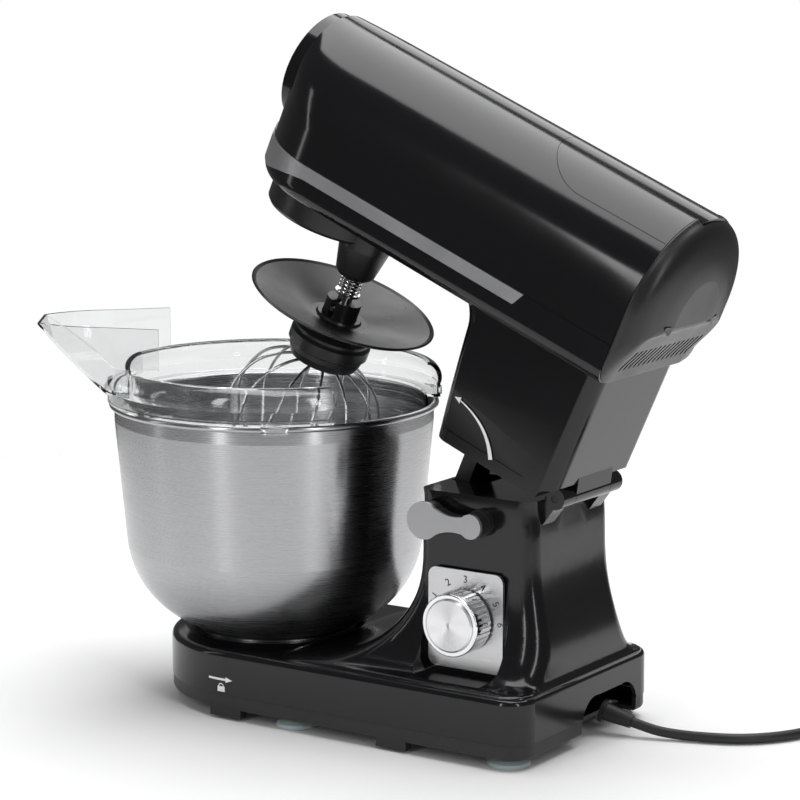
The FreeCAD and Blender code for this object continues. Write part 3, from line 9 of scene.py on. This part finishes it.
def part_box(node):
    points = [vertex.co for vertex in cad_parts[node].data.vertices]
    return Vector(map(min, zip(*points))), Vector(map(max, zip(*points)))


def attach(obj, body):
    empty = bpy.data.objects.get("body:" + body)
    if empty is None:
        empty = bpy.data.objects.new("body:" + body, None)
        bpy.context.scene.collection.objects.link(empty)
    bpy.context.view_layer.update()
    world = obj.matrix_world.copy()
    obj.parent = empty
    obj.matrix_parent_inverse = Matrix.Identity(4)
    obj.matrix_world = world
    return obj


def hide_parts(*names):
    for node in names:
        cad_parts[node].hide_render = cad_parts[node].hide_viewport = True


# Stand mixer, metres. The bowl's axis is at y = BOWL_Y, and the head's pieces are placed in the
# head's own level frame and then tipped back about the hinge pin.

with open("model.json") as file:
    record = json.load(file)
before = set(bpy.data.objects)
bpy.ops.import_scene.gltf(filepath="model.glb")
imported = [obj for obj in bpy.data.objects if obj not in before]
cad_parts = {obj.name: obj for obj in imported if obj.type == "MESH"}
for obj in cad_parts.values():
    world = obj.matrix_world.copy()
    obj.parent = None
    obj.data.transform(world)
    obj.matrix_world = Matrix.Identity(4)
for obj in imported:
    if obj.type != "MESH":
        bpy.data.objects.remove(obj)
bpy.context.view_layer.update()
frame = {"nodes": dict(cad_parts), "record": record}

BOWL_Y = -0.09711
HEAD_TILT = math.radians(23.3)
HINGE = Vector((0.0, 0.2435 + BOWL_Y, 0.1669))
TIP = Matrix.Translation(HINGE) @ Matrix.Rotation(-HEAD_TILT, 4, "X") @ Matrix.Translation(-HINGE)


def base_point(x, y, z):
    """A point measured in millimetres about the bowl's axis, in the stored frame."""
    return Vector((x / 1000, y / 1000 + BOWL_Y, z / 1000))


def head_point(x, y, z):
    """The same for a point on the head, which is measured with the head lowered."""
    return TIP @ base_point(x, y, z)


# ---- camera --------------------------------------------------------------------------------

CAMERA_PLACE = base_point(1616.1, 1176.2, 553.0)
CAMERA_AIM = base_point(-16.5, 91.5, 207.5)
FOCAL_LENGTH = 134.26
SENSOR_WIDTH = 36.0

camera_data = bpy.data.cameras.new("camera")
camera = bpy.data.objects.new("camera", camera_data)
bpy.context.scene.collection.objects.link(camera)
bpy.context.scene.camera = camera
camera_data.sensor_width = SENSOR_WIDTH
camera_data.lens = FOCAL_LENGTH
camera_data.clip_end = 50
camera.location = CAMERA_PLACE
camera.rotation_mode = "QUATERNION"
camera.rotation_quaternion = (CAMERA_AIM - CAMERA_PLACE).to_track_quat("-Z", "Y")

# ---- materials -----------------------------------------------------------------------------


def new_material(name, color, roughness, metallic=0.0, **sockets):
    material = bpy.data.materials.new(name)
    material.use_nodes = True
    shader = material.node_tree.nodes["Principled BSDF"]
    shader.inputs["Base Color"].default_value = (*color, 1.0)
    shader.inputs["Roughness"].default_value = roughness
    shader.inputs["Metallic"].default_value = metallic
    for socket, value in sockets.items():
        shader.inputs[socket.replace("_", " ")].default_value = value
    return material


def noise(material, scale, detail=4.0, stretch=(1, 1, 1)):
    """Noise in the object's own coordinates. A small stretch draws it out along that axis."""
    nodes, links = material.node_tree.nodes, material.node_tree.links
    coordinates = nodes.new("ShaderNodeTexCoord")
    mapping = nodes.new("ShaderNodeMapping")
    mapping.inputs["Scale"].default_value = stretch
    texture = nodes.new("ShaderNodeTexNoise")
    texture.inputs["Scale"].default_value = scale
    texture.inputs["Detail"].default_value = detail
    links.new(coordinates.outputs["Object"], mapping.inputs["Vector"])
    links.new(mapping.outputs["Vector"], texture.inputs["Vector"])
    return texture.outputs["Fac"]


NOISE_LOW, NOISE_HIGH = 0.3, 0.7


def spread(material, value, low, high):
    """The noise's usual range, stretched to run from low to high."""
    nodes, links = material.node_tree.nodes, material.node_tree.links
    remap = nodes.new("ShaderNodeMapRange")
    remap.inputs["From Min"].default_value = NOISE_LOW
    remap.inputs["From Max"].default_value = NOISE_HIGH
    remap.inputs["To Min"].default_value = low
    remap.inputs["To Max"].default_value = high
    links.new(value, remap.inputs["Value"])
    return remap.outputs["Result"]


def drive_roughness(material, value, low, high):
    shader = material.node_tree.nodes["Principled BSDF"]
    material.node_tree.links.new(spread(material, value, low, high), shader.inputs["Roughness"])


def drive_colour(material, value, dark, light):
    nodes, links = material.node_tree.nodes, material.node_tree.links
    ramp = nodes.new("ShaderNodeValToRGB")
    ramp.color_ramp.elements[0].position = NOISE_LOW
    ramp.color_ramp.elements[1].position = NOISE_HIGH
    ramp.color_ramp.elements[0].color = (*dark, 1)
    ramp.color_ramp.elements[1].color = (*light, 1)
    links.new(value, ramp.inputs["Fac"])
    links.new(ramp.outputs["Color"], nodes["Principled BSDF"].inputs["Base Color"])


def drive_bump(material, value, strength, distance):
    nodes, links = material.node_tree.nodes, material.node_tree.links
    bump = nodes.new("ShaderNodeBump")
    bump.inputs["Strength"].default_value = strength
    bump.inputs["Distance"].default_value = distance
    links.new(value, bump.inputs["Height"])
    links.new(bump.outputs["Normal"], nodes["Principled BSDF"].inputs["Normal"])


def radial_tangent(material, axis):
    """Turns an anisotropic look about one of the object's axes, as brushing on a lathe does."""
    nodes, links = material.node_tree.nodes, material.node_tree.links
    tangent = nodes.new("ShaderNodeTangent")
    tangent.direction_type = "RADIAL"
    tangent.axis = axis
    links.new(tangent.outputs["Tangent"], nodes["Principled BSDF"].inputs["Tangent"])


def gloss_black():
    material = new_material("gloss_black", (0.006, 0.006, 0.007), 0.13, IOR=1.46)
    drive_roughness(material, noise(material, 9, 3), 0.09, 0.17)
    drive_bump(material, noise(material, 420, 2), 0.02, 0.0004)
    return material


def satin_black(name, shade, low, high, grain=1500):
    material = new_material(name, (shade, shade, shade * 1.05), low, IOR=1.46)
    drive_roughness(material, noise(material, 40, 3), low, high)
    drive_bump(material, noise(material, grain, 3), 0.12, 0.0003)
    return material


def satin_silver():
    material = new_material("satin_silver", (0.4, 0.4, 0.41), 0.36, 0.75)
    drive_colour(material, noise(material, 2600, 2), (0.34, 0.34, 0.35), (0.46, 0.46, 0.47))
    drive_roughness(material, noise(material, 30, 3), 0.32, 0.4)
    drive_bump(material, noise(material, 1800, 2), 0.05, 0.0002)
    return material


BRUSH_DARKEST = 0.92
BRUSH_BUMP_STRETCH = 1.7


def brushed(name, color, stretch, low, high, **sockets):
    material = new_material(name, color, low, 1.0, **sockets)
    lines = noise(material, 1, 6, stretch)
    drive_roughness(material, lines, low, high)
    drive_colour(material, lines, [c * BRUSH_DARKEST for c in color], color)
    fine = [s * BRUSH_BUMP_STRETCH for s in stretch]
    drive_bump(material, noise(material, 1, 4, fine), 0.04, 0.0001)
    return material


def bowl_steel():
    material = brushed("bowl_steel", (0.46, 0.46, 0.47), (14, 14, 3200), 0.22, 0.32,
                       Anisotropic=0.75, Anisotropic_Rotation=0.25)
    radial_tangent(material, "Z")
    return material


def spun_aluminium():
    material = brushed("spun_aluminium", (0.82, 0.82, 0.83), (900, 40, 40), 0.24, 0.34,
                       Anisotropic=0.85, Anisotropic_Rotation=0.25)
    radial_tangent(material, "X")
    return material


def chrome():
    material = new_material("chrome", (0.8, 0.8, 0.81), 0.08, 1.0)
    drive_roughness(material, noise(material, 60, 3), 0.05, 0.12)
    return material


def wire_steel():
    material = new_material("wire_steel", (0.62, 0.62, 0.62), 0.16, 1.0)
    drive_roughness(material, noise(material, 300, 4), 0.12, 0.24)
    return material


def clear_plastic():
    material = new_material("clear_plastic", (0.88, 0.89, 0.89), 0.03, IOR=1.45,
                            Transmission_Weight=1.0)
    drive_roughness(material, noise(material, 35, 4), 0.015, 0.06)
    drive_bump(material, noise(material, 60, 2), 0.03, 0.0006)
    return material


def soft_foot():
    material = new_material("soft_foot", (0.72, 0.73, 0.71), 0.45, IOR=1.43,
                            Transmission_Weight=0.35, Subsurface_Weight=0.4)
    drive_roughness(material, noise(material, 200, 3), 0.38, 0.52)
    return material


def plain(name, color, low, high, metallic=0.0, grain=900):
    material = new_material(name, color, low, metallic)
    drive_roughness(material, noise(material, 60, 3), low, high)
    drive_bump(material, noise(material, grain, 3), 0.08, 0.0003)
    return material


gloss = gloss_black()
rear_satin = satin_black("rear_satin", 0.014, 0.3, 0.38)
satin = satin_black("satin_black", 0.012, 0.36, 0.46)
tool_black = satin_black("tool_black", 0.014, 0.26, 0.36, 900)
cord_black = satin_black("cord_black", 0.012, 0.42, 0.55, 1200)
silver = satin_silver()
plate_steel = brushed("plate_steel", (0.68, 0.68, 0.69), (40, 26, 2600), 0.26, 0.4)
steel = brushed("machined_steel", (0.55, 0.55, 0.56), (30, 30, 1500), 0.2, 0.34)
chromed = chrome()
clear = clear_plastic()

LOOKS = {
    "black_gloss": gloss,
    "black_satin": satin,
    "silver_satin": silver,
    "brushed_plate": plate_steel,
    "chrome": chromed,
    "spun_aluminium": spun_aluminium(),
    "stainless": bowl_steel(),
    "steel": steel,
    "clear_plastic": clear,
    "foot_rubber": soft_foot(),
    "cord_rubber": cord_black,
    "cast_alloy": plain("cast_alloy", (0.5, 0.5, 0.51), 0.4, 0.55, 1.0, 600),
    "nylon": plain("nylon", (0.72, 0.7, 0.62), 0.4, 0.5),
    "copper": plain("copper", (0.62, 0.26, 0.12), 0.25, 0.4, 1.0, 2000),
    "board": plain("board", (0.03, 0.16, 0.07), 0.35, 0.5),
    "bronze": plain("bronze", (0.5, 0.34, 0.17), 0.3, 0.45, 1.0, 1500),
}
slot_of = {part["node"]: part["material_slot"] for part in frame["record"]["subparts"]}
SPECIAL = {
    "rear_cover": rear_satin,
    "whisk_wires": wire_steel(),
    "splash_disc": tool_black,
    "whisk_hub": tool_black,
    "planet_hub": tool_black,
    "base_plate": satin,
    "hinge_pin": satin,
}
for name, node in frame["nodes"].items():
    look = SPECIAL.get(name, LOOKS[slot_of[name]])
    for place in node.material_slots:
        place.material = look


# ---- helpers for new pieces ----------------------------------------------------------------

def add_object(name, data, body, material):
    piece = bpy.data.objects.new(name, data)
    bpy.context.scene.collection.objects.link(piece)
    if not data.materials:
        data.materials.append(material)
    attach(piece, body)
    return piece


def add_curve(name, points, radius):
    data = bpy.data.curves.new(name, "CURVE")
    data.dimensions = "3D"
    data.bevel_depth = radius
    data.bevel_resolution = 5
    data.resolution_u = 10
    data.use_fill_caps = True
    spline = data.splines.new("NURBS")
    spline.points.add(len(points) - 1)
    for place, point in zip(spline.points, points):
        place.co = (*point, 1.0)
    spline.order_u = 3
    spline.use_endpoint_u = True
    return data


def mesh_from(name, vertices, faces):
    data = bpy.data.meshes.new(name)
    data.from_pydata([tuple(v) for v in vertices], [], faces)
    builder = bmesh.new()
    builder.from_mesh(data)
    bmesh.ops.recalc_face_normals(builder, faces=builder.faces)
    builder.to_mesh(data)
    builder.free()
    return data


# ---- power cord ----------------------------------------------------------------------------

CORD_DIAMETER = 0.0066
CORD_ROUTE = [
    base_point(-30.5, 263.5, 9.5), base_point(-33.0, 277, 5.6), base_point(-38.5, 293, 3.6),
    base_point(-44.0, 312, 3.4), base_point(-52.5, 331, 3.4), base_point(-68.0, 347, 3.4),
    base_point(-88.0, 358.5, 3.4), base_point(-108.0, 364.5, 3.4),
]
COIL_CENTRE = base_point(-126, 408.6, 0)
COIL_MIDDLE = 0.0396
TURN_POINTS = 16
COIL_TURNS = 3.5
SHIFT_SHARE = 0.2
CORD_HALF = CORD_DIAMETER / 2
FLOOR_LAYER = CORD_HALF + 0.0001
UPPER_LAYER = 3 * CORD_HALF + 0.0002
# radius and height of each turn: out and in on the floor, then in and out above
COIL_LANES = [(COIL_MIDDLE + CORD_HALF, FLOOR_LAYER), (COIL_MIDDLE - CORD_HALF, FLOOR_LAYER),
              (COIL_MIDDLE - CORD_HALF, UPPER_LAYER), (COIL_MIDDLE + CORD_HALF, UPPER_LAYER)]
LAST_LANE = len(COIL_LANES) - 1


def coil_points():
    """The coil, with each turn easing into the next over the last part of its way round."""
    points = []
    for step in range(int(COIL_TURNS * TURN_POINTS) + 1):
        turned = step / TURN_POINTS
        turn = min(int(turned), LAST_LANE)
        part = turned - turn
        radius, height = COIL_LANES[turn]
        if part > 1 - SHIFT_SHARE and turn < LAST_LANE:
            share = (part - 1 + SHIFT_SHARE) / SHIFT_SHARE
            share = share * share * (3 - 2 * share)
            next_radius, next_height = COIL_LANES[turn + 1]
            radius += (next_radius - radius) * share
            height += (next_height - height) * share
        angle = -math.pi / 2 - 2 * math.pi * turned
        points.append(COIL_CENTRE + Vector((radius * math.cos(angle), radius * math.sin(angle),
                                            height)))
    return points


INSIDE_PLUG = 0.002

plug_low, plug_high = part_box("power_plug")
cord_end = Vector((plug_low.x + INSIDE_PLUG, COIL_CENTRE.y + COIL_MIDDLE + CORD_HALF,
                   UPPER_LAYER))
cord_points = CORD_ROUTE + coil_points() + [cord_end]
cord = add_object("supply_cord", add_curve("supply_cord", cord_points, CORD_HALF), "base",
                  cord_black)
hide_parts("power_cord", "cord_coil")

# ---- printed marks -------------------------------------------------------------------------

white_print = plain("white_print", (0.82, 0.82, 0.82), 0.45, 0.55)
dark_print = plain("dark_print", (0.02, 0.02, 0.02), 0.45, 0.55)
PRINT_LIFT = 0.15


def flat_mark(name, outlines, place, body, material):
    """Thin printed shapes: each outline of (across, up) millimetres is put on a face by place."""
    vertices, faces = [], []
    for outline in outlines:
        start = len(vertices)
        vertices += [place(across, up) for across, up in outline]
        faces.append(list(range(start, start + len(outline))))
    return add_object(name, mesh_from(name, vertices, faces), body, material)


def ribbon(points, widths):
    """Quads along a line of points, as outlines of four corners."""
    sides = []
    for index, (x, y) in enumerate(points):
        before = points[max(index - 1, 0)]
        after = points[min(index + 1, len(points) - 1)]
        along = Vector((after[0] - before[0], after[1] - before[1])).normalized()
        half = widths[index] / 2
        sides.append(((x - along.y * half, y + along.x * half),
                      (x + along.y * half, y - along.x * half)))
    return [[sides[i][0], sides[i + 1][0], sides[i + 1][1], sides[i][1]]
            for i in range(len(sides) - 1)]


def half_ring(radius, width, centre):
    """The upper half of a ring, as outlines of four corners."""
    steps = 10
    line = []
    for step in range(steps + 1):
        angle = math.pi * step / steps
        line.append((centre[0] + radius * math.cos(angle), centre[1] + radius * math.sin(angle)))
    return ribbon(line, [width] * len(line))


NECK_SIDE_X = 50.0
ARROW_STEPS = 20
ARROW_WIDE, ARROW_NARROW = 3.0, 0.7


def neck_arrow():
    """A curved arrow that shows which way the head tips."""
    start, middle, end = Vector((198, 172.5)), Vector((188, 192)), Vector((163, 196.5))
    line, widths = [], []
    for step in range(ARROW_STEPS + 1):
        t = step / ARROW_STEPS
        point = start * (1 - t) ** 2 + middle * (2 * t * (1 - t)) + end * t ** 2
        line.append((point.x, point.y))
        widths.append(ARROW_WIDE * (1 - t) + ARROW_NARROW * t)
    tip = [(163.4, 198.6), (158.6, 196.7), (163.4, 194.4)]
    return flat_mark("neck_arrow", ribbon(line, widths) + [tip],
                     lambda y, z: head_point(NECK_SIDE_X + PRINT_LIFT, y, z),
                     "head", white_print)


neck_arrow()

BASE_FACE_X = 86.0
FRONT_BEND_Y = 18.9
FRONT_BEND_RADIUS = 89.0


def base_side(y, z):
    """A point on the base's right side, which bends in towards the front."""
    bend = max(FRONT_BEND_Y - y, 0) ** 2 / (2 * FRONT_BEND_RADIUS)
    return base_point(BASE_FACE_X - bend + PRINT_LIFT, y, z)


def lock_mark():
    """An arrow over a padlock, beside the bowl's lock."""
    steps = 12
    shaft = ribbon([(6.5 + 14.5 * step / steps, 27.4) for step in range(steps + 1)],
                   [1.5] * (steps + 1))
    tip = [(21.0, 29.3), (26.5, 27.4), (21.0, 25.5)]
    case = [(14.2, 19.0), (20.2, 19.0), (20.2, 22.6), (14.2, 22.6)]
    shackle = half_ring(1.9, 0.7, (17.2, 22.6))
    return flat_mark("lock_mark", shaft + [tip, case] + shackle, base_side, "base",
                     white_print)


lock_mark()


DIAL_Y, DIAL_Z = 188.0, 85.0
DIAL_PLATE_X = 53.6
NUMBER_REACH = 26.2
NUMBER_HEIGHT = 0.0068
LAST_NUMBER = 6
NUMBER_STEP = 30
# turns letters that lie flat so that they stand on the plate
ON_THE_PLATE = Matrix(((0, 0, 1, 0), (1, 0, 0, 0), (0, 1, 0, 0), (0, 0, 0, 1)))


def dial_numbers():
    """The numbers round the dial, each leaning outwards from its centre."""
    for number in range(LAST_NUMBER + 1):
        angle = math.radians(180 - NUMBER_STEP * number)
        data = bpy.data.curves.new("number_%d" % number, "FONT")
        data.body = str(number)
        data.size = NUMBER_HEIGHT
        data.align_x = "CENTER"
        data.align_y = "CENTER"
        text = bpy.data.objects.new("number_%d" % number, data)
        bpy.context.scene.collection.objects.link(text)
        bpy.context.view_layer.update()
        evaluated = text.evaluated_get(bpy.context.evaluated_depsgraph_get())
        mesh = bpy.data.meshes.new_from_object(evaluated)
        bpy.data.objects.remove(text)
        place = base_point(DIAL_PLATE_X + PRINT_LIFT, DIAL_Y + NUMBER_REACH * math.cos(angle),
                           DIAL_Z + NUMBER_REACH * math.sin(angle))
        lean = Matrix.Rotation(angle - math.pi / 2, 4, "X")
        mesh.transform(Matrix.Translation(place) @ lean @ ON_THE_PLATE)
        mesh.materials.clear()
        add_object("dial_number_%d" % number, mesh, "base", dark_print)


dial_numbers()

# ---- studio --------------------------------------------------------------------------------

FLOOR_RADIUS = 0.95
FLOOR_SIDES = 64
FLOOR_DROP = 0.0004

floor_rim = [(FLOOR_RADIUS * math.cos(2 * math.pi * side / FLOOR_SIDES),
              FLOOR_RADIUS * math.sin(2 * math.pi * side / FLOOR_SIDES), -FLOOR_DROP)
             for side in range(FLOOR_SIDES)]
floor_data = mesh_from("floor", floor_rim, [list(range(FLOOR_SIDES))])
floor = bpy.data.objects.new("floor", floor_data)
bpy.context.scene.collection.objects.link(floor)
floor_data.materials.append(new_material("floor_paper", (0.94, 0.94, 0.94), 0.8))

AMBIENT_STRENGTH = 0.12
BACKDROP_STRENGTH = 1.0


def studio_world():
    """White where it's seen directly or through clear plastic, and dim for everything else."""
    world = bpy.data.worlds.new("studio")
    bpy.context.scene.world = world
    world.use_nodes = True
    nodes, links = world.node_tree.nodes, world.node_tree.links
    ambient = nodes["Background"]
    ambient.inputs["Color"].default_value = (1, 1, 1, 1)
    ambient.inputs["Strength"].default_value = AMBIENT_STRENGTH
    backdrop = nodes.new("ShaderNodeBackground")
    backdrop.inputs["Color"].default_value = (1, 1, 1, 1)
    backdrop.inputs["Strength"].default_value = BACKDROP_STRENGTH
    rays = nodes.new("ShaderNodeLightPath")
    chooser = nodes.new("ShaderNodeMixShader")
    seen = nodes.new("ShaderNodeMath")
    seen.operation = "MAXIMUM"
    links.new(rays.outputs["Is Camera Ray"], seen.inputs[0])
    links.new(rays.outputs["Is Transmission Ray"], seen.inputs[1])
    links.new(seen.outputs[0], chooser.inputs[0])
    links.new(ambient.outputs[0], chooser.inputs[1])
    links.new(backdrop.outputs[0], chooser.inputs[2])
    links.new(chooser.outputs[0], nodes["World Output"].inputs[0])


studio_world()


def soft_box(name, place, toward, width, height, power):
    data = bpy.data.lights.new(name, "AREA")
    data.shape = "RECTANGLE"
    data.size = width
    data.size_y = height
    data.energy = power
    lamp = bpy.data.objects.new(name, data)
    bpy.context.scene.collection.objects.link(lamp)
    lamp.location = place
    lamp.rotation_mode = "QUATERNION"
    lamp.rotation_quaternion = (Vector(toward) - Vector(place)).to_track_quat("-Z", "Y")


# the strips draw upright bright bands on the bowl
BOWL_MIDDLE = (0, -0.1, 0.15)
soft_box("right_strip", (1.9, -0.15, 0.75), BOWL_MIDDLE, 0.26, 1.5, 8)
soft_box("camera_strip", (0.85, 1.6, 0.75), BOWL_MIDDLE, 0.22, 1.5, 7)
soft_box("front_strip", (1.2, -1.65, 0.7), BOWL_MIDDLE, 0.12, 1.5, 2)
soft_box("overhead", (-0.3, 0.1, 2.4), (0, 0.0, 0.1), 2.4, 2.4, 76)
soft_box("top_glow", (-1.8, -0.6, 1.35), (0, 0.0, 0.3), 1.2, 0.8, 5)

bpy.context.scene.view_settings.view_transform = "Standard"
